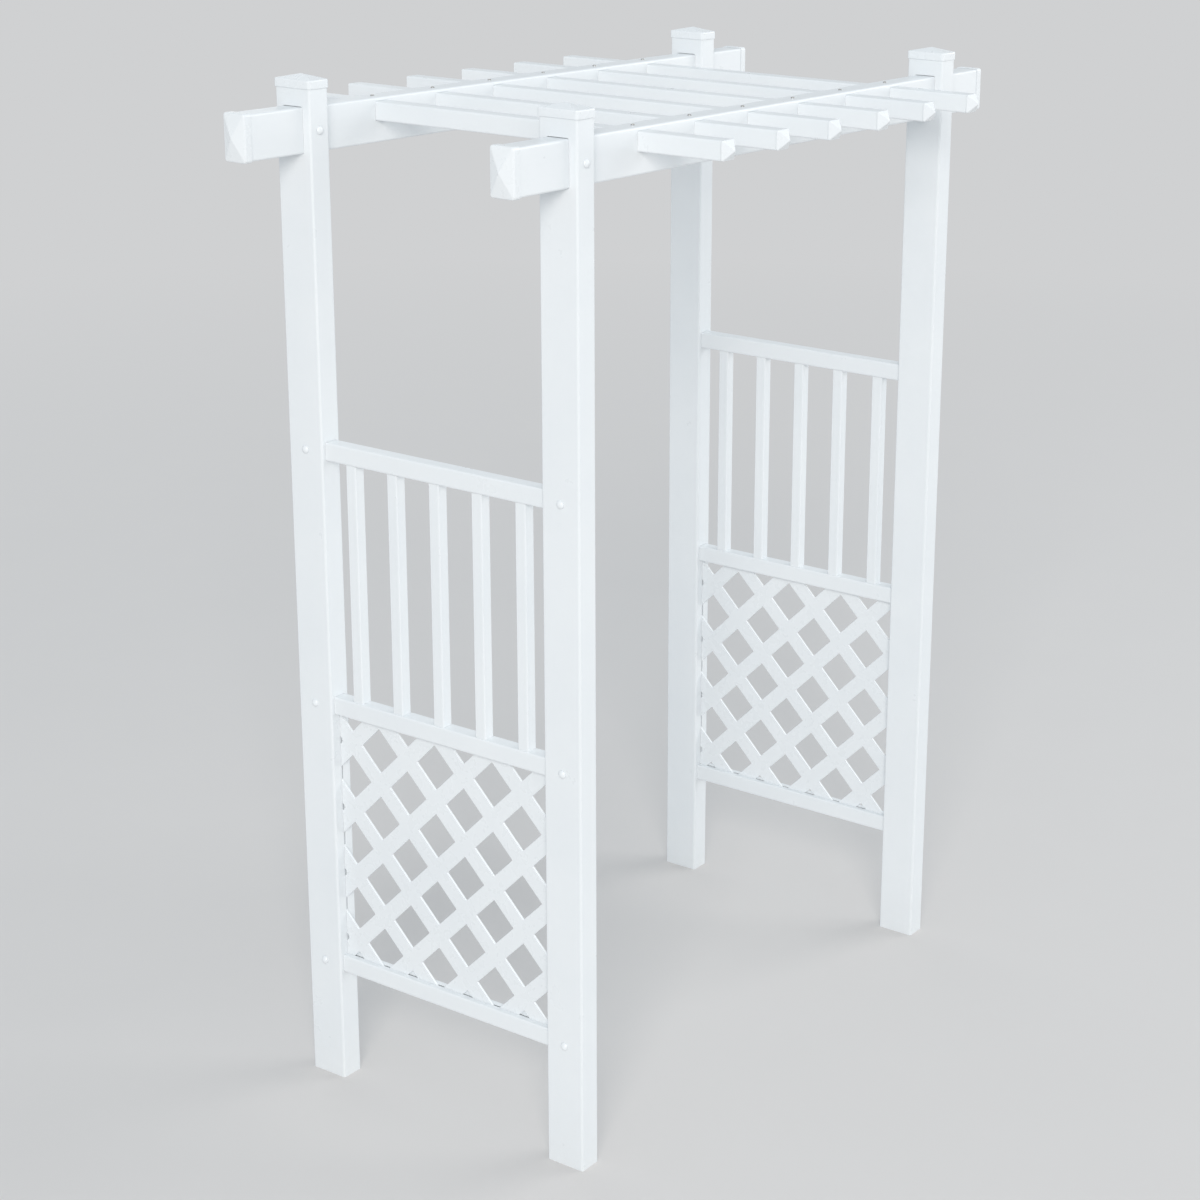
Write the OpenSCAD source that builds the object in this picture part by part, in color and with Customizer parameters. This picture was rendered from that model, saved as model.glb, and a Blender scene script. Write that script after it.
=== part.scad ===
// Garden arbor of hollow vinyl profile: two side panels, two beams and six rafters.
// The path runs along Y, the beams run along X, front is -Y and left is -X.
// The origin is on the ground in the middle of the path.

/* [Layout] */
// Distance between the left and right post centres, across the path
post_span_x = 1294; // [900:1:1800]
// Distance between the front and back post centres, along the path
post_span_y = 646; // [500:1:900]
// Length of a post, from the ground to its cut end inside the cap
post_len = 2121; // [1750:1:2600]
// How far the cut end of a post is above the top of the beams
post_above_beam = 48.9; // [20:0.1:200]

/* [Posts] */
// Narrow side of the post profile, across the path
post_x = 50.8; // [46:0.1:80]
// Broad side of the post profile, along the path
post_y = 88.9; // [84:0.1:120]
// Outside corner radius of the post profile
post_r = 4.5; // [2:0.1:8]
// Wall of the post profile
post_wall = 2.3; // [1.5:0.1:4]

/* [Beams] */
// Width of a beam
beam_w = 50.8; // [40:0.1:60]
// Height of a beam
beam_h = 88.9; // [80:0.1:110]
// Outside corner radius of the beam profile
beam_r = 4.5; // [2:0.1:8]
// Wall of the beam profile
beam_wall = 2.3; // [1.5:0.1:4]
// How far a beam runs past the outer face of a post
beam_reach = 152.8; // [60:0.1:300]

/* [Rafters] */
// Width of a rafter
rafter_w = 38.1; // [30:0.1:50]
// Height of a rafter
rafter_h = 38.1; // [30:0.1:50]
// Outside corner radius of the rafter profile
rafter_r = 3.5; // [2:0.1:6]
// Wall of the rafter profile
rafter_wall = 1.8; // [1.2:0.1:3]
// Depth of the top of a rafter below the top of a beam
rafter_drop = 7; // [5:0.1:20]
// How far a rafter runs past the outer side of a beam
rafter_reach = 186; // [60:1:320]
// Gap between a post and the rafter next to it
rafter_end_gap = 152.3; // [80:0.1:220]

/* [Side panel rails] */
// Width of a rail
rail_w = 31.8; // [26:0.1:42]
// Height of a rail
rail_h = 38.1; // [30:0.1:50]
// Outside corner radius of the rail profile
rail_r = 3.5; // [2:0.1:6]
// Wall of the rail profile
rail_wall = 1.8; // [1.2:0.1:3]
// Height of the middle of the top rail above the ground
top_rail_z = 1391.8; // [1200:0.1:1700]
// Height of the middle of the middle rail above the ground
middle_rail_z = 851.3; // [600:0.1:1100]
// Height of the middle of the bottom rail above the ground
bottom_rail_z = 267.5; // [120:0.1:400]
// How far a rail runs past its screw inside the post
rail_past_screw = 16; // [10:0.5:24]

/* [Balusters] */
// Side of a square baluster
baluster_w = 25.4; // [16:0.1:28]
// Outside corner radius of a baluster
baluster_r = 2.5; // [1.5:0.1:4]
// Wall of a baluster
baluster_wall = 1.4; // [1:0.1:2.5]
// Gap between a post and the baluster next to it
baluster_end_gap = 50.2; // [30:0.1:80]
// How far a baluster runs into each rail
baluster_inset = 12; // [6:0.5:20]

/* [Lattice] */
// Thickness of the lattice
lattice_t = 5; // [3:0.1:8]
// Width of a lattice slat
slat_w = 36; // [20:0.5:50]
// Distance between the middles of neighbouring slats
slat_pitch = 105.4; // [80:0.1:140]
// How far the lattice runs into the rails and posts
lattice_inset = 10; // [8:0.5:16]
// Width of the plain edge of the lattice, hidden in the slots of the rails and posts
lattice_edge = 7.5; // [2:0.5:9.5]
// Place along the path of the middle of one lattice opening
lattice_phase_y = 21.5; // [-50:0.5:50]
// Height above the ground of the middle of the same lattice opening
lattice_phase_z = 325.3; // [250:0.1:400]

/* [Caps] */
// Wall of every end cap
cap_wall = 2; // [1.5:0.1:3]
// Thickness of the two crossed ribs under the point of a cap
cap_rib = 2; // [1:0.1:3]
// Skirt length of a post cap
post_cap_skirt = 16; // [10:0.5:30]
// Height of the point of a post cap
post_cap_rise = 10; // [6:0.5:20]
// Skirt length of a beam cap
beam_cap_skirt = 17; // [12:0.5:30]
// Height of the point of a beam cap
beam_cap_rise = 10; // [6:0.5:20]
// Thickness of the flange of a rafter cap, which is flush with the rafter
rafter_cap_flange = 3.5; // [2:0.1:6]
// Height of the point of a rafter cap
rafter_cap_rise = 16; // [6:0.5:20]
// How far the plug of a rafter cap runs into the rafter
rafter_cap_plug = 12; // [8:0.5:20]

/* [Fasteners] */
// Diameter of the shank of a rail screw
rail_screw_d = 4.2; // [3.5:0.1:6]
// Length of thread past the near wall of the rail
rail_screw_bite = 6; // [4:0.5:10]
// Diameter of the shank of a rafter screw
rafter_screw_d = 4; // [3:0.1:5]
// Length of thread past the top wall of the rafter
rafter_screw_bite = 6; // [4:0.5:12]
// Diameter of the head of every screw
screw_head_d = 8; // [7:0.1:10]
// Height of the head of every screw
screw_head_h = 2.5; // [2:0.1:3.5]
// Diameter of a beam bolt
bolt_d = 5; // [4:0.1:6]
// Diameter of the head of a beam bolt, and of its nut across the corners
bolt_head_d = 9.2; // [8.5:0.1:10]
// Height of the head of a beam bolt, and of its nut
bolt_head_h = 3; // [2.4:0.1:3.3]
// Diameter of the cover over a screw or bolt
cover_d = 16.5; // [15.5:0.1:22]
// Height of a cover
cover_h = 6; // [5.6:0.1:9]
// Height of the straight rim of a cover
cover_rim = 2; // [1:0.1:3]
// Wall of a cover
cover_wall = 1.4; // [1:0.1:1.8]

/* [Fits] */
// Gap on each side of a piece in its routed hole or slot
hole_gap = 0.3; // [0.1:0.05:0.8]
// Gap above a beam in its slot in a post, where it drops in; below and beside it is hole_gap
beam_top_gap = 1; // [0.3:0.1:4]
// Gap between a cap and its profile, all round and at the cut end
cap_gap = 0.25; // [0.1:0.05:0.6]
// Gap round the shank of a screw or bolt
shank_gap = 0.2; // [0.1:0.05:0.5]

/* [Hidden] */
$fn = 32;
rafter_count = 6;
baluster_count = 5;
// Extra length that takes a cut clear of a surface
over = 1;

post_cx = post_span_x / 2;
post_cy = post_span_y / 2;
clear_x = post_span_x - post_x;
clear_y = post_span_y - post_y;

beam_top = post_len - post_above_beam;
beam_mid_z = beam_top - beam_h / 2;
beam_len = post_span_x + post_x + 2 * beam_reach;

rafter_mid_z = beam_top - rafter_drop - rafter_h / 2;
rafter_top = beam_top - rafter_drop;
rafter_len = post_span_y + beam_w + 2 * rafter_reach;
rafter_first = -clear_x / 2 + rafter_end_gap + rafter_w / 2;
rafter_pitch = -2 * rafter_first / (rafter_count - 1);

rail_len = post_span_y + 2 * rail_past_screw;
rail_zs = [bottom_rail_z, middle_rail_z, top_rail_z];
baluster_first = -clear_y / 2 + baluster_end_gap + baluster_w / 2;
baluster_pitch = -2 * baluster_first / (baluster_count - 1);
baluster_low = middle_rail_z + rail_h / 2 - baluster_inset;
baluster_high = top_rail_z - rail_h / 2 + baluster_inset;

lattice_low = bottom_rail_z + rail_h / 2 - lattice_inset;
lattice_high = middle_rail_z - rail_h / 2 + lattice_inset;
lattice_len = clear_y + 2 * lattice_inset;
lattice_tall = lattice_high - lattice_low;
lattice_mid_z = (lattice_high + lattice_low) / 2;

// Distance from the cut end of a profile to the outer edge of the cap on it
cap_seat = cap_wall + cap_gap;

sides_x = [-1, 1];
sides_y = [-1, 1];

// A rectangle with round corners, centred on the origin.
module rounded_rect(w, h, r) {
    square([w - 2 * r, h], center = true);
    square([w, h - 2 * r], center = true);
    for (x = [-1, 1], y = [-1, 1]) translate([x * (w / 2 - r), y * (h / 2 - r)]) circle(r);
}

// A hollow profile that runs up from the origin along Z.
module tube(len, w, h, r, wall) {
    inner_r = max(r - wall, 0.5);
    difference() {
        linear_extrude(len) rounded_rect(w, h, r);
        translate([0, 0, -over]) linear_extrude(len + 2 * over)
            rounded_rect(w - 2 * wall, h - 2 * wall, inner_r);
    }
}

// Turns a shape that runs along Z so that it runs along X, its first side along Y.
module along_x() { rotate([90, 0, 90]) children(); }

// Turns a shape that runs along Z so that it runs along Y, its first side along X.
module along_y() { rotate([-90, 0, 0]) mirror([0, 1, 0]) children(); }

// A low four-sided point over a w by h rectangle that stands on z = 0.
module low_point(w, h, rise) {
    intersection() {
        rotate([90, 0, 0]) linear_extrude(h, center = true)
            polygon([[-w / 2, 0], [w / 2, 0], [0, rise]]);
        rotate([90, 0, 90]) linear_extrude(w, center = true)
            polygon([[-h / 2, 0], [h / 2, 0], [0, rise]]);
    }
}

// A hollow end cap for a w by h profile. Its skirt hangs below z = 0 and its point rises above it.
// The profile ends at z = -cap_seat.
module end_cap(w, h, r, skirt, rise) {
    in_w = w + 2 * cap_gap;
    in_h = h + 2 * cap_gap;
    out_w = in_w + 2 * cap_wall;
    out_h = in_h + 2 * cap_wall;
    out_r = r + cap_wall / 2;
    difference() {
        union() {
            translate([0, 0, -skirt]) linear_extrude(skirt) rounded_rect(out_w, out_h, out_r);
            intersection() {
                low_point(out_w, out_h, rise);
                linear_extrude(rise) rounded_rect(out_w, out_h, out_r);
            }
        }
        translate([0, 0, -skirt - over]) linear_extrude(skirt - cap_wall + over)
            rounded_rect(in_w, in_h, r);
        translate([0, 0, -cap_wall]) difference() {
            low_point(in_w - 2 * r, in_h - 2 * r, rise);
            translate([0, 0, rise / 2]) {
                cube([cap_rib, out_h, rise + over], center = true);
                cube([out_w, cap_rib, rise + over], center = true);
            }
        }
    }
}

// A hollow end cap that plugs into a w by h profile and is flush with it.
// Its flange lies below z = 0 with the plug under it, and its point rises above it.
// The profile ends at z = -flange - cap_gap.
module plug_cap(w, h, r, wall, flange, rise, plug) {
    plug_w = w - 2 * wall - 2 * cap_gap;
    plug_h = h - 2 * wall - 2 * cap_gap;
    plug_r = max(r - wall, 0.5);
    in_w = plug_w - 2 * cap_wall;
    in_h = plug_h - 2 * cap_wall;
    depth = flange + cap_gap + plug;
    in_rise = rise * in_w / w;
    difference() {
        union() {
            translate([0, 0, -depth]) linear_extrude(depth) rounded_rect(plug_w, plug_h, plug_r);
            translate([0, 0, -flange]) linear_extrude(flange) rounded_rect(w, h, r);
            intersection() {
                low_point(w, h, rise);
                linear_extrude(rise) rounded_rect(w, h, r);
            }
        }
        translate([0, 0, -depth - over]) linear_extrude(depth + over) square([in_w, in_h], center = true);
        difference() {
            low_point(in_w, in_h, in_rise);
            translate([0, 0, in_rise / 2]) {
                cube([cap_rib, h, in_rise + over], center = true);
                cube([w, cap_rib, in_rise + over], center = true);
            }
        }
    }
}

// The space that a w by h profile needs in a wall that it passes through, centred on the origin.
module routed_hole(w, h, r, depth) {
    linear_extrude(depth, center = true)
        rounded_rect(w + 2 * hole_gap, h + 2 * hole_gap, r + hole_gap);
}

// The space that a shank needs in a wall that it passes through, centred on the origin.
module shank_hole(d, depth) {
    cylinder(d = d + 2 * shank_gap, h = depth, center = true);
}

// Holes in the front left post, which stands at the origin here.
// Its outer faces look to -X and -Y, and the side panel is on its +Y face.
module post_cuts() {
    panel_wall_y = post_y / 2 - post_wall / 2;
    outer_wall_x = -post_x / 2 + post_wall / 2;
    cut = post_wall + 2 * over;
    extra = beam_top_gap - hole_gap;
    translate([0, 0, beam_mid_z + extra / 2]) along_x()
        routed_hole(beam_w, beam_h + extra, beam_r, post_x + 2 * over);
    translate([0, 0, beam_mid_z]) along_y() shank_hole(bolt_d, post_y + 2 * over);
    for (z = rail_zs) {
        translate([0, panel_wall_y, z]) along_y() routed_hole(rail_w, rail_h, rail_r, cut);
        translate([outer_wall_x, 0, z]) along_x() shank_hole(rail_screw_d, cut);
    }
    translate([0, panel_wall_y, lattice_mid_z])
        cube([lattice_t + 2 * hole_gap, cut, lattice_tall], center = true);
}

// Places the shape made for the front left corner at the corner sx, sy.
module at_corner(sx, sy) {
    mirror([sx > 0 ? 1 : 0, 0, 0]) mirror([0, sy > 0 ? 1 : 0, 0])
        translate([-post_cx, -post_cy, 0]) children();
}

module post(sx, sy) {
    color("white") at_corner(sx, sy) difference() {
        tube(post_len, post_x, post_y, post_r, post_wall);
        post_cuts();
    }
}

module post_cap(sx, sy) {
    color("white") at_corner(sx, sy) translate([0, 0, post_len + cap_seat])
        end_cap(post_x, post_y, post_r, post_cap_skirt, post_cap_rise);
}

function rafter_x(i) = rafter_first + (i - 1) * rafter_pitch;

module beam(sy) {
    color("white") translate([0, sy * post_cy, 0]) difference() {
        translate([-beam_len / 2, 0, beam_mid_z]) along_x()
            tube(beam_len, beam_w, beam_h, beam_r, beam_wall);
        for (i = [1:rafter_count]) {
            translate([rafter_x(i), 0, rafter_mid_z]) along_y()
                routed_hole(rafter_w, rafter_h, rafter_r, beam_w + 2 * over);
            translate([rafter_x(i), 0, beam_top - beam_wall / 2])
                shank_hole(rafter_screw_d, beam_wall + 2 * over);
        }
        for (sx = sides_x) translate([sx * post_cx, 0, beam_mid_z]) along_y()
            shank_hole(bolt_d, beam_w + 2 * over);
    }
}

module beam_cap(sx, sy) {
    color("white") translate([sx * (beam_len / 2 + cap_seat), sy * post_cy, beam_mid_z])
        mirror([sx < 0 ? 1 : 0, 0, 0]) along_x()
            end_cap(beam_w, beam_h, beam_r, beam_cap_skirt, beam_cap_rise);
}

module rafter(i) {
    color("white") difference() {
        translate([rafter_x(i), -rafter_len / 2, rafter_mid_z]) along_y()
            tube(rafter_len, rafter_w, rafter_h, rafter_r, rafter_wall);
        for (sy = sides_y) translate([rafter_x(i), sy * post_cy, rafter_top - rafter_wall / 2])
            shank_hole(rafter_screw_d, rafter_wall + 2 * over);
    }
}

module rafter_cap(i, sy) {
    face = rafter_len / 2 + cap_gap + rafter_cap_flange;
    color("white") translate([rafter_x(i), sy * face, rafter_mid_z])
        mirror([0, sy < 0 ? 1 : 0, 0]) along_y()
            plug_cap(rafter_w, rafter_h, rafter_r, rafter_wall,
                rafter_cap_flange, rafter_cap_rise, rafter_cap_plug);
}

// Screw holes of a rail that lies along Y at the left side, one at each post.
module rail_screw_holes(z) {
    for (sy = sides_y) translate([-rail_w / 2 + rail_wall / 2, sy * post_cy, z]) along_x()
        shank_hole(rail_screw_d, rail_wall + 2 * over);
}

module baluster_sockets(z) {
    for (i = [1:baluster_count]) translate([0, baluster_y(i), z])
        routed_hole(baluster_w, baluster_w, baluster_r, rail_wall + 2 * over);
}

module lattice_slot(z) {
    translate([0, 0, z])
        cube([lattice_t + 2 * hole_gap, lattice_len + 2 * hole_gap, rail_wall + 2 * over], center = true);
}

function baluster_y(i) = baluster_first + (i - 1) * baluster_pitch;

// Places the shape made at x = 0 for the left panel at the panel on side sx.
module at_panel(sx) {
    mirror([sx > 0 ? 1 : 0, 0, 0]) translate([-post_cx, 0, 0]) children();
}

module rail(sx, z, balusters_above, balusters_below, lattice_above, lattice_below) {
    upper_wall = z + rail_h / 2 - rail_wall / 2;
    lower_wall = z - rail_h / 2 + rail_wall / 2;
    color("white") at_panel(sx) difference() {
        translate([0, -rail_len / 2, z]) along_y() tube(rail_len, rail_w, rail_h, rail_r, rail_wall);
        rail_screw_holes(z);
        if (balusters_above) baluster_sockets(upper_wall);
        if (balusters_below) baluster_sockets(lower_wall);
        if (lattice_above) lattice_slot(upper_wall);
        if (lattice_below) lattice_slot(lower_wall);
    }
}

module top_rail(sx) { rail(sx, top_rail_z, false, true, false, false); }
module middle_rail(sx) { rail(sx, middle_rail_z, true, false, false, true); }
module bottom_rail(sx) { rail(sx, bottom_rail_z, false, false, true, false); }

module baluster(sx, i) {
    color("white") at_panel(sx) translate([0, baluster_y(i), baluster_low])
        tube(baluster_high - baluster_low, baluster_w, baluster_w, baluster_r, baluster_wall);
}

// The outline of a lattice panel, centred on the origin, less an edge of the given width.
module lattice_outline(edge) {
    square([lattice_len - 2 * edge, lattice_tall - 2 * edge], center = true);
}

// Slats at 45 degrees in both directions, with the middle of an opening at the origin.
module slats() {
    reach = lattice_len + lattice_tall;
    steps = ceil(reach / slat_pitch);
    for (turn = [45, -45], k = [-steps:steps - 1])
        rotate(turn) translate([0, (k + 0.5) * slat_pitch]) square([2 * reach, slat_w], center = true);
}

module lattice(sx) {
    color("white") at_panel(sx) translate([0, 0, lattice_mid_z]) along_x()
        linear_extrude(lattice_t, center = true) {
            intersection() {
                lattice_outline(0);
                translate([lattice_phase_y, lattice_phase_z - lattice_mid_z]) slats();
            }
            difference() {
                lattice_outline(0);
                lattice_outline(lattice_edge);
            }
        }
}

// A domed head that stands on z = 0.
module dome(d, h) {
    sphere_r = (d * d / 4 + h * h) / (2 * h);
    intersection() {
        translate([0, 0, h - sphere_r]) sphere(sphere_r);
        cylinder(d = d + over, h = h + over);
    }
}

// A screw with its head on z = 0 and its shank down to z = -len.
module screw(d, len) {
    dome(screw_head_d, screw_head_h);
    translate([0, 0, -len]) cylinder(d = d, h = len);
}

// The outside or the room inside of a cover that stands on z = 0.
module button(d, h) {
    cylinder(d = d, h = cover_rim);
    translate([0, 0, cover_rim]) dome(d, h - cover_rim);
}

module cover() {
    difference() {
        button(cover_d, cover_h);
        button(cover_d - 2 * cover_wall, cover_h - cover_wall);
    }
}

// Places its children on the outer face of every post at every rail, pointing outwards.
module at_rail_screws() {
    for (sx = sides_x, sy = sides_y, z = rail_zs)
        at_corner(sx, sy) translate([-post_x / 2, 0, z]) rotate([0, -90, 0]) children();
}

// Places its children on the outer (side 1) or inner (side -1) face of every post at beam height.
module at_bolts(side) {
    for (sx = sides_x, sy = sides_y)
        at_corner(sx, sy) translate([0, -side * post_y / 2, beam_mid_z])
            rotate([side * 90, 0, 0]) children();
}

module rail_screws() {
    len = post_x / 2 - rail_w / 2 + rail_wall + rail_screw_bite;
    color("silver") at_rail_screws() screw(rail_screw_d, len);
}

module rail_screw_covers() { color("white") at_rail_screws() cover(); }

module beam_bolts() {
    color("silver") at_bolts(1) {
        dome(bolt_head_d, bolt_head_h);
        translate([0, 0, -post_y - bolt_head_h]) cylinder(d = bolt_d, h = post_y + bolt_head_h);
    }
}

module beam_bolt_nuts() {
    color("silver") at_bolts(-1) difference() {
        cylinder(d = bolt_head_d, h = bolt_head_h, $fn = 6);
        translate([0, 0, bolt_head_h / 2]) shank_hole(bolt_d, bolt_head_h + 2 * over);
    }
}

module beam_bolt_covers() {
    color("white") for (side = [-1, 1]) at_bolts(side) cover();
}

module rafter_screws() {
    len = rafter_drop + rafter_wall + rafter_screw_bite;
    color("silver") for (i = [1:rafter_count], sy = sides_y)
        translate([rafter_x(i), sy * post_cy, beam_top]) screw(rafter_screw_d, len);
}

post(-1, -1);  // post_front_left
post(1, -1);  // post_front_right
post(-1, 1);  // post_back_left
post(1, 1);  // post_back_right
post_cap(-1, -1);  // post_cap_front_left
post_cap(1, -1);  // post_cap_front_right
post_cap(-1, 1);  // post_cap_back_left
post_cap(1, 1);  // post_cap_back_right
beam(-1);  // beam_front
beam(1);  // beam_back
beam_cap(-1, -1);  // beam_cap_front_left
beam_cap(1, -1);  // beam_cap_front_right
beam_cap(-1, 1);  // beam_cap_back_left
beam_cap(1, 1);  // beam_cap_back_right
for (i = [1:rafter_count]) {
    rafter(i);
    rafter_cap(i, -1);
    rafter_cap(i, 1);
}
top_rail(-1);  // top_rail_left
middle_rail(-1);  // middle_rail_left
bottom_rail(-1);  // bottom_rail_left
top_rail(1);  // top_rail_right
middle_rail(1);  // middle_rail_right
bottom_rail(1);  // bottom_rail_right
for (i = [1:baluster_count]) {
    baluster(-1, i);
    baluster(1, i);
}
lattice(-1);  // lattice_left
lattice(1);  // lattice_right
rail_screws();
rail_screw_covers();
beam_bolts();
beam_bolt_nuts();
beam_bolt_covers();
rafter_screws();
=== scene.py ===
# Garden arbor of hollow white vinyl profile: materials, moulded details, floor, light and camera.
import math
import bmesh
import bpy
from mathutils import Matrix, Vector


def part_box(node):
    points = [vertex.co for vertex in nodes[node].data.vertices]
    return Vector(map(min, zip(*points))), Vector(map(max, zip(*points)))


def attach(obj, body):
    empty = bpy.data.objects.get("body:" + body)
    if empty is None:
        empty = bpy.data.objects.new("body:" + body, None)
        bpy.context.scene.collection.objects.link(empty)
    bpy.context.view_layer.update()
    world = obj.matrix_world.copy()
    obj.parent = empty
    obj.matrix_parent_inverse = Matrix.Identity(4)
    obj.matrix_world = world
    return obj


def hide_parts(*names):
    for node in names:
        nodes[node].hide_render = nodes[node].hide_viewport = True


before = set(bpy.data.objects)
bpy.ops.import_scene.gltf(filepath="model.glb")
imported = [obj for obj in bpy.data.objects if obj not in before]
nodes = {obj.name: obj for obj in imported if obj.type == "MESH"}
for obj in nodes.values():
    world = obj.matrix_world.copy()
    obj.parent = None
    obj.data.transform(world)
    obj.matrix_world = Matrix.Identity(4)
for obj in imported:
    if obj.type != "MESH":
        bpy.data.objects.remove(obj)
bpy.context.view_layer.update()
print("frame:", len(nodes), "CAD nodes loaded")

mm = 0.001
railNames = ["top_rail", "middle_rail", "bottom_rail"]
sideNames = {"left": -1, "right": 1}   # sign along X
rowNames = {"front": -1, "back": 1}    # sign along Y
rafterNumbers = range(1, 7)


def middle(node):
    low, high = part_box(node)
    return (low + high) / 2


def pieceName(node):
    words = node.split("_")
    return words[0] + "".join(word.capitalize() for word in words[1:])


def addNode(tree, kind, x, y, **settings):
    node = tree.nodes.new(kind)
    node.location = (x, y)
    for key, value in settings.items():
        setattr(node, key, value)
    return node


def startMaterial(name):
    material = bpy.data.materials.new(name)
    material.use_nodes = True
    tree = material.node_tree
    tree.nodes.clear()
    output = addNode(tree, "ShaderNodeOutputMaterial", 900, 0)
    shader = addNode(tree, "ShaderNodeBsdfPrincipled", 600, 0)
    tree.links.new(shader.outputs["BSDF"], output.inputs["Surface"])
    coords = addNode(tree, "ShaderNodeTexCoord", -1100, 0).outputs["Object"]
    return material, tree, shader, coords


def noise(tree, coords, scale, x, y, detail=2.0, roughness=0.5):
    # scale is one number, or a stretch along each axis, in cells per metre
    stretch = scale if isinstance(scale, (tuple, list)) else (scale,) * 3
    mapping = addNode(tree, "ShaderNodeMapping", x - 200, y)
    mapping.inputs["Scale"].default_value = stretch
    texture = addNode(tree, "ShaderNodeTexNoise", x, y)
    texture.inputs["Scale"].default_value = 1.0
    texture.inputs["Detail"].default_value = detail
    texture.inputs["Roughness"].default_value = roughness
    tree.links.new(coords, mapping.inputs["Vector"])
    tree.links.new(mapping.outputs["Vector"], texture.inputs["Vector"])
    return texture.outputs["Fac"]


def remap(tree, value, fromLow, fromHigh, toLow, toHigh, x, y):
    node = addNode(tree, "ShaderNodeMapRange", x, y)
    limits = {"From Min": fromLow, "From Max": fromHigh, "To Min": toLow, "To Max": toHigh}
    for socket, number in limits.items():
        node.inputs[socket].default_value = number
    tree.links.new(value, node.inputs["Value"])
    return node.outputs["Result"]


def blendColours(tree, factor, first, second, x, y):
    # first and second are a colour or an output that carries one
    node = addNode(tree, "ShaderNodeMix", x, y, data_type="RGBA")
    for socket, colour in ((node.inputs[6], first), (node.inputs[7], second)):
        if isinstance(colour, tuple):
            socket.default_value = (*colour, 1)
        else:
            tree.links.new(colour, socket)
    tree.links.new(factor, node.inputs[0])
    return node.outputs[2]


def bump(tree, height, strength, distance, x, y, before=None):
    node = addNode(tree, "ShaderNodeBump", x, y)
    node.inputs["Strength"].default_value = strength
    node.inputs["Distance"].default_value = distance
    tree.links.new(height, node.inputs["Height"])
    if before is not None:
        tree.links.new(before, node.inputs["Normal"])
    return node.outputs["Normal"]


# Scales are in cells per metre. A spread is the stretch of a noise that goes from one end to the
# other of what it drives, and the two numbers of a noise are its detail and its roughness

vinyl = {
    "clean": (0.815, 0.844, 0.862),
    "shade": (0.792, 0.824, 0.846),
    "patches": 5.5,
    "patchSpread": (0.35, 0.68),
    "dust": (0.66, 0.65, 0.61),
    "dustHeight": 0.16,      # dust from the ground thins out up to here
    "dustAmount": 0.12,
    "speckle": 60.0,
    "speckleSpread": (0.35, 0.7),
    "leastSpeckle": 0.25,
    "ior": 1.53,
}


def vinylTone(tree, shader, coords):
    # Soft patches of tone, and dust towards the ground
    patches = noise(tree, coords, vinyl["patches"], -700, 500, detail=3.0)
    amount = remap(tree, patches, *vinyl["patchSpread"], 0, 1, -450, 500)
    colour = blendColours(tree, amount, vinyl["clean"], vinyl["shade"], -150, 500)
    split = addNode(tree, "ShaderNodeSeparateXYZ", -700, 250)
    tree.links.new(coords, split.inputs[0])
    low = remap(tree, split.outputs["Z"], 0, vinyl["dustHeight"], vinyl["dustAmount"], 0, -450, 250)
    speckle = noise(tree, coords, vinyl["speckle"], -700, 50, detail=5.0, roughness=0.6)
    thin = remap(tree, speckle, *vinyl["speckleSpread"], vinyl["leastSpeckle"], 1, -450, 50)
    dusty = addNode(tree, "ShaderNodeMath", -250, 200, operation="MULTIPLY")
    tree.links.new(low, dusty.inputs[0])
    tree.links.new(thin, dusty.inputs[1])
    colour = blendColours(tree, dusty.outputs[0], colour, vinyl["dust"], 100, 400)
    tree.links.new(colour, shader.inputs["Base Color"])


def vinylMaterial(name, skin, relief):
    # relief is the scale of the coarser pattern in the skin
    material, tree, shader, coords = startMaterial(name)
    vinylTone(tree, shader, coords)
    coarse = noise(tree, coords, relief, -700, -200, *skin["reliefNoise"])
    grain = noise(tree, coords, skin["grain"], -700, -450)
    gloss = noise(tree, coords, skin["gloss"], -700, -700, *skin["glossNoise"])
    roughness = remap(tree, gloss, *skin["glossSpread"], skin["glossy"], skin["dull"], 0, -650)
    tree.links.new(roughness, shader.inputs["Roughness"])
    normal = bump(tree, coarse, skin["reliefStrength"], skin["reliefDepth"], 0, -200)
    normal = bump(tree, grain, skin["grainStrength"], skin["grainDepth"], 250, -350, normal)
    tree.links.new(normal, shader.inputs["Normal"])
    shader.inputs["IOR"].default_value = vinyl["ior"]
    return material


extruded = {
    "across": 210.0,         # die lines, across a profile
    "along": 0.9,
    "reliefNoise": (3.0, 0.6),
    "reliefStrength": 0.32,
    "reliefDepth": 0.00035,
    "grain": 950.0,
    "grainStrength": 0.25,
    "grainDepth": 0.00008,
    "gloss": 14.0,
    "glossNoise": (4.0, 0.6),
    "glossSpread": (0.3, 0.7),
    "glossy": 0.27,
    "dull": 0.37,
}


def extrudedVinyl(name, axis):
    # axis is the way the profile was drawn, 0 to 2; its faint die lines run that way
    relief = [extruded["across"]] * 3
    relief[axis] = extruded["along"]
    return vinylMaterial(name, extruded, relief)


moulded = {
    "swell": 75.0,           # low waves of the moulding
    "reliefNoise": (1.0, 0.5),
    "reliefStrength": 0.18,
    "reliefDepth": 0.0002,
    "grain": 1100.0,
    "grainStrength": 0.3,
    "grainDepth": 0.00003,
    "gloss": 40.0,
    "glossNoise": (3.0, 0.5),
    "glossSpread": (0.3, 0.7),
    "glossy": 0.24,
    "dull": 0.33,
}


def mouldedVinyl(name):
    return vinylMaterial(name, moulded, moulded["swell"])


zinc = {
    "bright": (0.50, 0.52, 0.54),
    "warm": (0.44, 0.43, 0.39),
    "stains": 420.0,
    "stainSpread": (0.35, 0.7),
    "scratches": 2600.0,
    "scratchStrength": 0.3,
    "scratchDepth": 0.00003,
    "glossSpread": (0.3, 0.7),
    "glossy": 0.22,
    "dull": 0.4,
}


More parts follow.
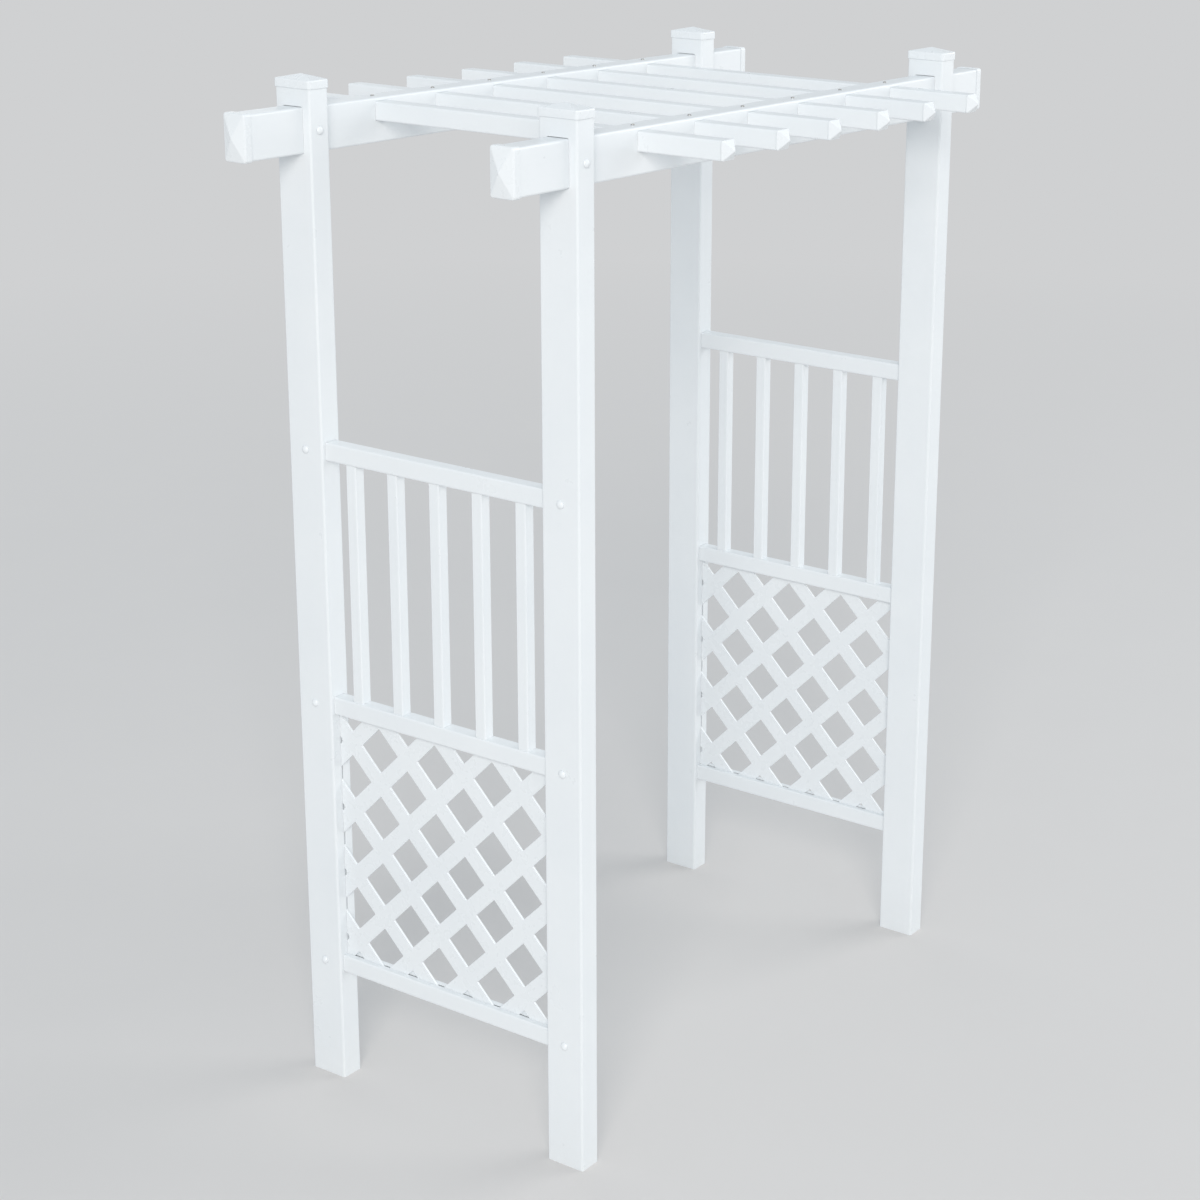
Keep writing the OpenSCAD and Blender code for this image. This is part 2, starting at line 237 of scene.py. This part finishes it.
def zincSteel(name):
    material, tree, shader, coords = startMaterial(name)
    stains = noise(tree, coords, zinc["stains"], -700, 300, detail=4.0)
    amount = remap(tree, stains, *zinc["stainSpread"], 0, 1, -450, 300)
    colour = blendColours(tree, amount, zinc["bright"], zinc["warm"], -150, 300)
    tree.links.new(colour, shader.inputs["Base Color"])
    scratches = noise(tree, coords, zinc["scratches"], -700, -200, detail=3.0)
    roughness = remap(tree, scratches, *zinc["glossSpread"], zinc["glossy"], zinc["dull"], 0, -100)
    tree.links.new(roughness, shader.inputs["Roughness"])
    normal = bump(tree, scratches, zinc["scratchStrength"], zinc["scratchDepth"], 0, -350)
    tree.links.new(normal, shader.inputs["Normal"])
    shader.inputs["Metallic"].default_value = 1.0
    return material


acrossVinyl = extrudedVinyl("extrudedVinylAcross", 0)
alongVinyl = extrudedVinyl("extrudedVinylAlong", 1)
uprightVinyl = extrudedVinyl("extrudedVinylUpright", 2)
capVinyl = mouldedVinyl("mouldedVinyl")
screwSteel = zincSteel("zincSteel")
print("materials: extruded and moulded vinyl and zinc steel made")

finishes = {
    "post_cap": capVinyl, "beam_cap": capVinyl, "rafter_cap": capVinyl,
    "post": uprightVinyl, "baluster": uprightVinyl, "beam_bolt_covers": capVinyl,
    "rail_screw_covers": capVinyl, "rail_screws": screwSteel, "beam_bolts": screwSteel,
    "beam_bolt_nuts": screwSteel, "rafter_screws": screwSteel, "beam": acrossVinyl,
    "rafter": alongVinyl, "top_rail": alongVinyl, "middle_rail": alongVinyl,
    "bottom_rail": alongVinyl, "lattice": uprightVinyl,
}
for name, node in nodes.items():
    # The longest start that fits the name of the node
    match = max((start for start in finishes if name.startswith(start)), key=len)
    for slot in node.material_slots:
        slot.material = finishes[match]
print("profiles: materials set on the CAD nodes")


def roundedOutline(halfWide, halfHigh, radius, steps):
    radius = min(radius, halfWide, halfHigh)
    points = []
    for corner, (sx, sy) in enumerate([(1, 1), (-1, 1), (-1, -1), (1, -1)]):
        for step in range(steps + 1):
            angle = math.radians(90 * (corner + step / steps))
            points.append((sx * (halfWide - radius) + radius * math.cos(angle),
                           sy * (halfHigh - radius) + radius * math.sin(angle)))
    return points


def circleOutline(radius, steps):
    return [(radius * math.cos(2 * math.pi * k / steps), radius * math.sin(2 * math.pi * k / steps))
            for k in range(steps)]


def loft(rings, firstPoint, lastPoint):
    # A closed skin from a point on the axis, through rings of equally many points, to a point
    bm = bmesh.new()
    loops = [[bm.verts.new(point) for point in ring] for ring in rings]
    count = len(loops[0])
    for below, above in zip(loops, loops[1:]):
        for k in range(count):
            bm.faces.new((below[k], below[(k + 1) % count], above[(k + 1) % count], above[k]))
    for loop, tip in ((loops[0], firstPoint), (loops[-1], lastPoint)):
        point = bm.verts.new(tip)
        for k in range(count):
            bm.faces.new((loop[k], loop[(k + 1) % count], point))
    bmesh.ops.recalc_face_normals(bm, faces=bm.faces)
    return bm


def finishMesh(bm, name, material, place, sharpAngle=35):
    mesh = bpy.data.meshes.new(name)
    bm.transform(place)
    bm.to_mesh(mesh)
    bm.free()
    mesh.shade_smooth()
    mesh.set_sharp_from_angle(angle=math.radians(sharpAngle))
    mesh.materials.append(material)
    piece = bpy.data.objects.new(name, mesh)
    bpy.context.scene.collection.objects.link(piece)
    return piece


def addPiece(piece, slotName, *replaced):
    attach(piece, "root")
    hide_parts(*replaced)


def pointing(origin, direction, side):
    # The place of a shape made along +Z that points along direction, its own X along side
    z = Vector(direction).normalized()
    x = Vector(side).normalized()
    y = z.cross(x)
    place = Matrix((x, y, z)).transposed().to_4x4()
    place.translation = origin
    return place


# End caps: hollow, with a four-sided point. Those of posts and beams slip over the profile,
# those of rafters plug into it and are flush with it

caps = {
    "wall": 2.0 * mm,
    "cornerRadius": {"post_cap": 6.2 * mm, "beam_cap": 6.5 * mm, "rafter_cap": 3.5 * mm},
    "leastCorner": 0.6 * mm,
    "rise": {"post_cap": 10 * mm, "beam_cap": 10 * mm, "rafter_cap": 16 * mm},
    "edgeRadius": {"post_cap": 3.2 * mm, "beam_cap": 4.0 * mm, "rafter_cap": 1.4 * mm},
    "lipRadius": {"post_cap": 0.7 * mm, "beam_cap": 0.7 * mm, "rafter_cap": 0.45 * mm},
    "lipMiddle": 0.3,        # the middle of the rounded lip, as a share of its radius
    "flange": 3.5 * mm,      # of a rafter cap, between the plug and the point
    "plugInset": 2.05 * mm,  # from the side of the flange to the side of the plug
    "plugBevel": 0.6 * mm,
    "cutEdge": 0.3 * mm,     # the bevel inside the open end
    "innerBevel": 1.5 * mm,  # inside, where the skirt meets the point
    "innerRise": 0.6,        # rise of the hollow as a share of the outer one
    "tipBlunt": 0.12 * mm,
    "faceShares": (0.97, 0.5, 0.035),  # rings on the four faces, as shares of the width
    "cornerSteps": 8,
    "edgeSteps": 7,
}


def endCap(node, kind, direction, side):
    low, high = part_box(node)
    size = high - low
    axis = [abs(round(part)) for part in direction].index(1)
    sideAxis = [abs(round(part)) for part in side].index(1)
    otherAxis = 3 - axis - sideAxis
    halfWide, halfHigh = size[sideAxis] / 2, size[otherAxis] / 2
    rise = caps["rise"][kind]
    skirt = size[axis] - rise
    radius, wall = caps["cornerRadius"][kind], caps["wall"]
    lip, edge = caps["lipRadius"][kind], caps["edgeRadius"][kind]
    cut, bevel = caps["cutEdge"], caps["plugBevel"]
    narrow = min(halfWide, halfHigh)

    def ring(inset, height):
        corner = max(radius - inset, caps["leastCorner"])
        outline = roundedOutline(halfWide - inset, halfHigh - inset, corner, caps["cornerSteps"])
        return [(x, y, height) for x, y in outline]

    def shrunk(share, height):
        outline = roundedOutline((halfWide - edgeInset) * share, (halfHigh - edgeInset) * share,
                                 (radius - edgeInset) * share, caps["cornerSteps"])
        return [(x, y, height) for x, y in outline]

    turn = math.pi / 2 - math.atan2(rise, narrow)
    edgeInset = edge * (1 - math.cos(turn))
    edgeTop = skirt + rise * edgeInset / narrow
    if kind == "rafter_cap":
        plug, seat = caps["plugInset"], skirt - caps["flange"]
        rings = [ring(plug + wall, skirt), ring(plug + wall, cut), ring(plug + wall - cut, 0),
                 ring(plug + bevel, 0), ring(plug, bevel), ring(plug, seat)]
    else:
        seat = 0
        rings = [ring(wall + caps["innerBevel"], skirt - wall + cut), ring(wall, skirt - wall),
                 ring(wall, cut), ring(wall - cut, 0)]
    halfLip = lip * caps["lipMiddle"]
    rings += [ring(lip, seat), ring(halfLip, seat + halfLip), ring(0, seat + lip)]
    for step in range(caps["edgeSteps"] + 1):
        angle = turn * step / caps["edgeSteps"]
        rings.append(ring(edge * (1 - math.cos(angle)),
                          edgeTop - edge * math.sin(turn) + edge * math.sin(angle)))
    tip = rise - (edgeTop - skirt)
    for share in caps["faceShares"]:
        rings.append(shrunk(share, edgeTop + tip * (1 - share)))
    innerTip = (0, 0, skirt + rise * caps["innerRise"])
    outerTip = (0, 0, skirt + rise - caps["tipBlunt"])
    origin = (low + high) / 2
    origin[axis] = low[axis] if direction[axis] > 0 else high[axis]
    bm = loft(rings, innerTip, outerTip)
    piece = finishMesh(bm, pieceName(node), capVinyl, pointing(origin, direction, side))
    # Keeps the wide flat faces flat beside their narrow rounded edges
    piece.modifiers.new("faceNormals", "WEIGHTED_NORMAL").keep_sharp = True
    addPiece(piece, "white_vinyl", node)


for row, rowSign in rowNames.items():
    for side, sideSign in sideNames.items():
        endCap(f"post_cap_{row}_{side}", "post_cap", (0, 0, 1), (1, 0, 0))
        endCap(f"beam_cap_{row}_{side}", "beam_cap", (sideSign, 0, 0), (0, 1, 0))
    for number in rafterNumbers:
        endCap(f"rafter_cap_{row}_{number}", "rafter_cap", (0, rowSign, 0), (1, 0, 0))
print("caps: 20 moulded end caps made")


# Covers: hollow buttons over the screws and bolts

cover = {
    "radius": 8.25 * mm,
    "height": 6.0 * mm,
    "rim": 2.0 * mm,
    "wall": 1.4 * mm,
    "shoulder": 0.5 * mm,
    # inward and up from the rim, as shares of the shoulder
    "shoulderLine": [(0, -1), (0.08, -0.3)],
    "domeStart": (0.4, 0.35),
    "groove": 0.18 * mm,     # the fine step where the button snaps on its seat
    # depth as a share of the groove, and height in mm
    "grooveLine": [(0, 0.65), (0.6, 0.75), (1, 0.85), (0.6, 0.95), (0, 1.05)],
    "cutEdge": 0.2 * mm,
    "baseEdge": 0.15 * mm,
    "sharpAngle": 50,        # degrees
    "steps": 48,
    "insideSteps": 8,
    "outsideSteps": 12,
}


def domeProfile(radius, rim, height, steps):
    # Radius and height from the rim to the top of a part of a sphere
    rise = height - rim
    ball = (radius * radius + rise * rise) / (2 * rise)
    start = math.asin(min(radius / ball, 1))
    return [(ball * math.sin(start * (1 - k / steps)),
             height - ball + ball * math.cos(start * (1 - k / steps))) for k in range(steps)]


def coverMesh():
    r, rim, wall = cover["radius"], cover["rim"], cover["wall"]
    groove, shoulder = cover["groove"], cover["shoulder"]
    cut, base, height = cover["cutEdge"], cover["baseEdge"], cover["height"]
    inward, up = cover["domeStart"]
    inside = domeProfile(r - wall, rim, height - wall, cover["insideSteps"])[::-1]
    outside = domeProfile(r - shoulder * inward, rim + shoulder * up, height, cover["outsideSteps"])
    seat = [(r - wall, cut), (r - wall + cut, 0), (r - base, 0), (r, base)]
    seat += [(r - groove * share, z * mm) for share, z in cover["grooveLine"]]
    seat += [(r - shoulder * x, rim + shoulder * z) for x, z in cover["shoulderLine"]]
    profile = inside + seat + outside
    rings = [[(x, y, z) for x, y in circleOutline(radius, cover["steps"])] for radius, z in profile]
    return loft(rings, (0, 0, height - wall), (0, 0, height))


def addCover(name, node, place):
    piece = finishMesh(coverMesh(), name, capVinyl, place, cover["sharpAngle"])
    addPiece(piece, "white_vinyl", node)


for row, rowSign in rowNames.items():
    for side, sideSign in sideNames.items():
        post = f"post_{row}_{side}"
        low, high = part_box(post)
        centre = middle(post)
        outer = high.x if sideSign > 0 else low.x
        for rail in railNames:
            place = Vector((outer, centre.y, middle(f"{rail}_{side}").z))
            addCover(pieceName(f"{rail}_cover_{row}_{side}"), "rail_screw_covers",
                     pointing(place, (sideSign, 0, 0), (0, 1, 0)))
        for face, sign in (("outer", rowSign), ("inner", -rowSign)):
            place = Vector((centre.x, high.y if sign > 0 else low.y, middle(f"beam_{row}").z))
            addCover(pieceName(f"bolt_cover_{face}_{row}_{side}"), "beam_bolt_covers",
                     pointing(place, (0, sign, 0), (1, 0, 0)))
print("covers: 20 snap-on buttons made")


# Rafter screws: pan heads with a cross recess

screw = {
    "headRadius": 4.0 * mm,
    "headHeight": 2.5 * mm,
    "sideHeight": 0.8 * mm,
    "shankRadius": 2.0 * mm,
    "threadDepth": 0.35 * mm,
    "threadPitch": 1.4 * mm,
    "length": 14.8 * mm,
    "pointLength": 3.0 * mm,
    "recessReach": 2.15 * mm,
    "recessWide": 0.62 * mm,
    "recessDepth": 1.45 * mm,
    "recessShares": (0.5, 1.0, 1.3),  # width at its bottom, at the top of the head and above it
    "recessPoint": 0.2 * mm,
    "recessAbove": 0.9 * mm,
    "neck": 1.5 * mm,          # plain length under the head
    "rimInset": 0.15 * mm,
    "rimHeight": 0.12 * mm,
    "crownInner": 0.55,        # shares of the head radius: the flat middle and the rounded rest
    "crownOuter": 0.45,
    "crownHeight": 0.93,       # share of the height above the side
    "crownSteps": 9,
    "topRadius": 0.3,          # share of the head radius
    "topDrop": 0.03 * mm,
    "turn": 37,                # degrees from one screw to the next
    "backTurn": 11,
    "join": 0.005 * mm,
    "steps": 40,
}


def screwBody():
    length, radius, depth = screw["length"], screw["shankRadius"], screw["threadDepth"]
    profile = []
    z = -length + screw["pointLength"]
    while z < -screw["neck"]:
        profile += [(radius - depth, z), (radius, z + screw["threadPitch"] * 0.5)]
        z += screw["threadPitch"]
    profile += [(radius - depth, z), (radius - depth, 0)]
    head, side, top = screw["headRadius"], screw["sideHeight"], screw["headHeight"]
    profile += [(head - screw["rimInset"], 0), (head, screw["rimHeight"]), (head, side)]
    for k in range(1, screw["crownSteps"]):
        angle = math.radians(90 * k / screw["crownSteps"])
        profile.append((head * screw["crownInner"] + head * screw["crownOuter"] * math.cos(angle),
                        side + (top - side) * screw["crownHeight"] * math.sin(angle)))
    profile.append((head * screw["topRadius"], top - screw["topDrop"]))
    rings = [[(x, y, height) for x, y in circleOutline(r, screw["steps"])] for r, height in profile]
    return loft(rings, (0, 0, -length), (0, 0, top))


def recessCutter():
    reach, wide = screw["recessReach"], screw["recessWide"]
    arm = [(reach, -wide), (reach, wide), (wide, wide)]
    outline = []
    for quarter in range(4):
        turn = Matrix.Rotation(math.radians(90 * quarter), 2)
        outline += [tuple(turn @ Vector(point)) for point in arm]
    top = screw["headHeight"]
    low, above = top - screw["recessDepth"], top + screw["recessAbove"]
    levels = zip(screw["recessShares"], (low, top, above))
    rings = [[(x * share, y * share, z) for x, y in outline] for share, z in levels]
    return loft(rings, (0, 0, low - screw["recessPoint"]), (0, 0, above))


def plainObject(bm, name):
    mesh = bpy.data.meshes.new(name)
    bm.to_mesh(mesh)
    bm.free()
    made = bpy.data.objects.new(name, mesh)
    bpy.context.scene.collection.objects.link(made)
    return made


def screwMesh():
    body, cutter = plainObject(screwBody(), "screwBody"), plainObject(recessCutter(), "recess")
    cut = body.modifiers.new("recess", "BOOLEAN")
    cut.operation, cut.solver, cut.object = "DIFFERENCE", "EXACT", cutter
    bpy.context.view_layer.update()
    evaluated = body.evaluated_get(bpy.context.evaluated_depsgraph_get())
    mesh = bpy.data.meshes.new_from_object(evaluated)
    bpy.data.objects.remove(body)
    bpy.data.objects.remove(cutter)
    return mesh


panHead = screwMesh()
for row in rowNames:
    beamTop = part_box(f"beam_{row}")[1].z
    for number in rafterNumbers:
        spot = Vector((middle(f"rafter_{number}").x, middle(f"beam_{row}").y, beamTop))
        degrees = screw["turn"] * number + (screw["backTurn"] if row == "back" else 0)
        turn = Matrix.Rotation(math.radians(degrees), 4, "Z")
        bm = bmesh.new()
        bm.from_mesh(panHead)
        # The cut recess leaves corners on top of each other
        bmesh.ops.remove_doubles(bm, verts=bm.verts, dist=screw["join"])
        piece = finishMesh(bm, pieceName(f"rafter_screw_{row}_{number}"), screwSteel,
                           Matrix.Translation(spot) @ turn)
        addPiece(piece, "zinc_steel", "rafter_screws")
bpy.data.meshes.remove(panHead)
print("screws: 12 pan heads made")


# Lattice: one sheet with square openings that stand on their points

lattice = {
    "slat": 36 * mm,
    "pitch": 105.4 * mm,
    "openingY": 21.5 * mm,     # centre of one opening, from which the others are counted
    "openingZ": 325.3 * mm,
    "edge": 7.5 * mm,          # plain edge in the slots of the posts and rails
    "softEdge": 0.5 * mm,
    "join": 0.01 * mm,
    "flatNormal": 0.999,       # of a face on a flat side, where 1 is exactly square to it
    "noArea": 1e-10,           # square metres
    "sharpAngle": 12,          # degrees
}


def clipped(polygon, low, high):
    # The part of a convex polygon inside the rectangle from low to high
    for axis, limit, keepAbove in ((0, low[0], True), (0, high[0], False),
                                   (1, low[1], True), (1, high[1], False)):
        kept = []
        for a, b in zip(polygon, polygon[1:] + polygon[:1]):
            insideA = (a[axis] >= limit) == keepAbove
            insideB = (b[axis] >= limit) == keepAbove
            if insideA:
                kept.append(a)
            if insideA != insideB:
                share = (limit - a[axis]) / (b[axis] - a[axis])
                kept.append(tuple(a[k] + share * (b[k] - a[k]) for k in (0, 1)))
        polygon = kept
        if len(polygon) < 3:
            return []
    return polygon


def latticeOpenings(low, high):
    half = (lattice["pitch"] - lattice["slat"]) / math.sqrt(2)
    step = lattice["pitch"] / math.sqrt(2)
    reach = int((high[1] - low[1] + high[0] - low[0]) / step) + 2
    openings = []
    for i in range(-reach, reach + 1):
        for j in range(-reach, reach + 1):
            if (i + j) % 2:
                continue
            y, z = lattice["openingY"] + i * step, lattice["openingZ"] + j * step
            diamond = [(y + half, z), (y, z + half), (y - half, z), (y, z - half)]
            part = clipped(diamond, low, high)
            if len(part) >= 3:
                openings.append(part)
    return openings


def evenTriangles(bm):
    # Turns the diagonals on the two flat sides of the sheet, so that fewer slivers are left
    bm.normal_update()
    flat = {face for face in bm.faces if abs(face.normal.z) > lattice["flatNormal"]}
    inner = [edge for edge in bm.edges
             if len(edge.link_faces) == 2 and flat.issuperset(edge.link_faces)]
    bmesh.ops.beautify_fill(bm, faces=list(flat), edges=inner)
    # A face whose corners lie on one line has no area: its longest edge is turned
    for face in [face for face in bm.faces if face.calc_area() < lattice["noArea"]]:
        bmesh.utils.edge_rotate(max(face.edges, key=lambda edge: edge.calc_length()), True)


def flatSheet(outlines, thickness, soft):
    # A sheet cut along closed outlines, with a soft edge all round
    curve = bpy.data.curves.new("latticeOutline", "CURVE")
    curve.dimensions, curve.fill_mode = "2D", "BOTH"
    for points in outlines:
        spline = curve.splines.new("POLY")
        spline.points.add(len(points) - 1)
        for point, (y, z) in zip(spline.points, points):
            point.co = (y, z, 0, 1)
        spline.use_cyclic_u = True
    curve.extrude = thickness / 2 - soft
    curve.bevel_depth, curve.bevel_resolution, curve.offset = soft, 1, -soft
    drawn = bpy.data.objects.new("latticeOutline", curve)
    bpy.context.scene.collection.objects.link(drawn)
    bpy.context.view_layer.update()
    evaluated = drawn.evaluated_get(bpy.context.evaluated_depsgraph_get())
    flat = bpy.data.meshes.new_from_object(evaluated)
    bpy.data.objects.remove(drawn)
    bm = bmesh.new()
    bm.from_mesh(flat)
    bpy.data.meshes.remove(flat)
    return bm


def latticeSheet(side):
    node = f"lattice_{side}"
    low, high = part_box(node)
    edge = lattice["edge"]
    outline = [(low.y, low.z), (high.y, low.z), (high.y, high.z), (low.y, high.z)]
    holes = latticeOpenings((low.y + edge, low.z + edge), (high.y - edge, high.z - edge))
    bm = flatSheet([outline] + holes, high.x - low.x, lattice["softEdge"])
    bmesh.ops.remove_doubles(bm, verts=bm.verts, dist=lattice["join"])
    evenTriangles(bm)
    bmesh.ops.recalc_face_normals(bm, faces=bm.faces)
    # Drawn in its own X and Y, which become Y and Z
    upright = Matrix(((0, 0, 1, (low.x + high.x) / 2), (1, 0, 0, 0), (0, 1, 0, 0), (0, 0, 0, 1)))
    piece = finishMesh(bm, pieceName(f"lattice_sheet_{side}"), sheetVinyl, upright,
                       lattice["sharpAngle"])
    addPiece(piece, "white_vinyl", node)
    print("lattice:", side, "sheet with", len(holes), "openings")


sheetVinyl = mouldedVinyl("latticeVinyl")
for side in sideNames:
    latticeSheet(side)


studio = {
    "floorNear": (0.675, 0.655, 0.642),
    "floorPaler": 1.02,        # the pale end of its patches, times the colour above
    "floorPatches": 3.0,
    "floorRoughness": 0.9,
    "floorSpecular": 0.2,
    "floorReach": 90.0,
    "floorCells": 6,
    "far": (0.63, 0.637, 0.645),
    "sky": (0.59, 0.645, 0.69),
    "fadeStart": 3.0,          # metres from the middle of the floor
    "fadeEnd": 9.0,
    "aim": (0, 0, 1.05),
    # direction from the object, distance, side, power in watts and colour
    "lamps": {
        "key": ((-0.75, -0.52, 0.41), 18, 7.5, 1660, (1.0, 0.96, 0.92)),
        "fill": ((0.72, -0.60, 0.36), 12, 8.0, 430, (1.0, 0.985, 0.965)),
        "behind": ((0.40, 0.84, 0.38), 12, 8.0, 90, (1.0, 0.98, 0.95)),
    },
}


def studioFloor():
    cells = studio["floorCells"]
    bm = bmesh.new()
    bmesh.ops.create_grid(bm, x_segments=cells, y_segments=cells, size=studio["floorReach"])
    mesh = bpy.data.meshes.new("floor")
    bm.to_mesh(mesh)
    bm.free()
    floor = bpy.data.objects.new("floor", mesh)
    bpy.context.scene.collection.objects.link(floor)
    material, tree, shader, coords = startMaterial("floorPaper")
    tone = noise(tree, coords, studio["floorPatches"], -700, 200, detail=4.0)
    near = studio["floorNear"]
    paler = tuple(part * studio["floorPaler"] for part in near)
    colour = blendColours(tree, tone, near, paler, -150, 200)
    tree.links.new(colour, shader.inputs["Base Color"])
    shader.inputs["Roughness"].default_value = studio["floorRoughness"]
    shader.inputs["Specular IOR Level"].default_value = studio["floorSpecular"]
    # Far from the object the floor turns into the even tone of the background
    distance = addNode(tree, "ShaderNodeVectorMath", -700, -200, operation="LENGTH")
    tree.links.new(coords, distance.inputs[0])
    fade = remap(tree, distance.outputs["Value"], studio["fadeStart"], studio["fadeEnd"], 0, 1,
                 -300, -200)
    glow = addNode(tree, "ShaderNodeEmission", 300, -300)
    glow.inputs["Color"].default_value = (*studio["far"], 1)
    mixed = addNode(tree, "ShaderNodeMixShader", 750, -100)
    tree.links.new(fade, mixed.inputs[0])
    tree.links.new(shader.outputs["BSDF"], mixed.inputs[1])
    tree.links.new(glow.outputs["Emission"], mixed.inputs[2])
    output = next(node for node in tree.nodes if node.type == "OUTPUT_MATERIAL")
    tree.links.new(mixed.outputs["Shader"], output.inputs["Surface"])
    mesh.materials.append(material)


def studioLight():
    world = bpy.data.worlds.new("studio")
    bpy.context.scene.world = world
    world.use_nodes = True
    tree = world.node_tree
    background = next(node for node in tree.nodes if node.type == "BACKGROUND")
    # The camera, gloss and glass see the pale background; the rest gets the sky's light
    path = addNode(tree, "ShaderNodeLightPath", -900, 0)
    seen = path.outputs["Is Camera Ray"]
    for ray in ("Is Glossy Ray", "Is Transmission Ray"):
        both = addNode(tree, "ShaderNodeMath", -600, 0, operation="MAXIMUM")
        tree.links.new(seen, both.inputs[0])
        tree.links.new(path.outputs[ray], both.inputs[1])
        seen = both.outputs[0]
    colour = blendColours(tree, seen, studio["sky"], studio["far"], -300, 0)
    tree.links.new(colour, background.inputs["Color"])
    aim = Vector(studio["aim"])
    for name, (direction, distance, size, power, colour) in studio["lamps"].items():
        data = bpy.data.lights.new(name, "AREA")
        data.shape, data.size, data.energy, data.color = "SQUARE", size, power, colour
        lamp = bpy.data.objects.new(name, data)
        bpy.context.scene.collection.objects.link(lamp)
        towards = Vector(direction).normalized()
        lamp.location = aim + towards * distance
        lamp.rotation_mode = "QUATERNION"
        lamp.rotation_quaternion = towards.to_track_quat("Z", "Y")
        lamp.visible_camera = False


cameraView = {
    "place": (-4.0940, -3.0502, 2.6845),
    "forward": (0.80316, 0.52180, -0.28751),
    "up": (0.22986, 0.17382, 0.95758),
    "lens": 73.363,
    "sensor": 36.0,
    "shift": (-0.15651, -0.06926),
    "clip": (0.1, 200),
}


def photoCamera():
    data = bpy.data.cameras.new("photoCamera")
    data.lens, data.sensor_width = cameraView["lens"], cameraView["sensor"]
    data.shift_x, data.shift_y = cameraView["shift"]
    data.clip_start, data.clip_end = cameraView["clip"]
    camera = bpy.data.objects.new("photoCamera", data)
    bpy.context.scene.collection.objects.link(camera)
    back = -Vector(cameraView["forward"]).normalized()
    right = Vector(cameraView["up"]).cross(back).normalized()
    turn = Matrix((right, back.cross(right), back)).transposed().to_4x4()
    camera.matrix_world = Matrix.Translation(cameraView["place"]) @ turn
    bpy.context.scene.camera = camera


studioFloor()
studioLight()
photoCamera()
bpy.context.scene.view_settings.view_transform = "Standard"
print("studio: floor, lamps and camera set")
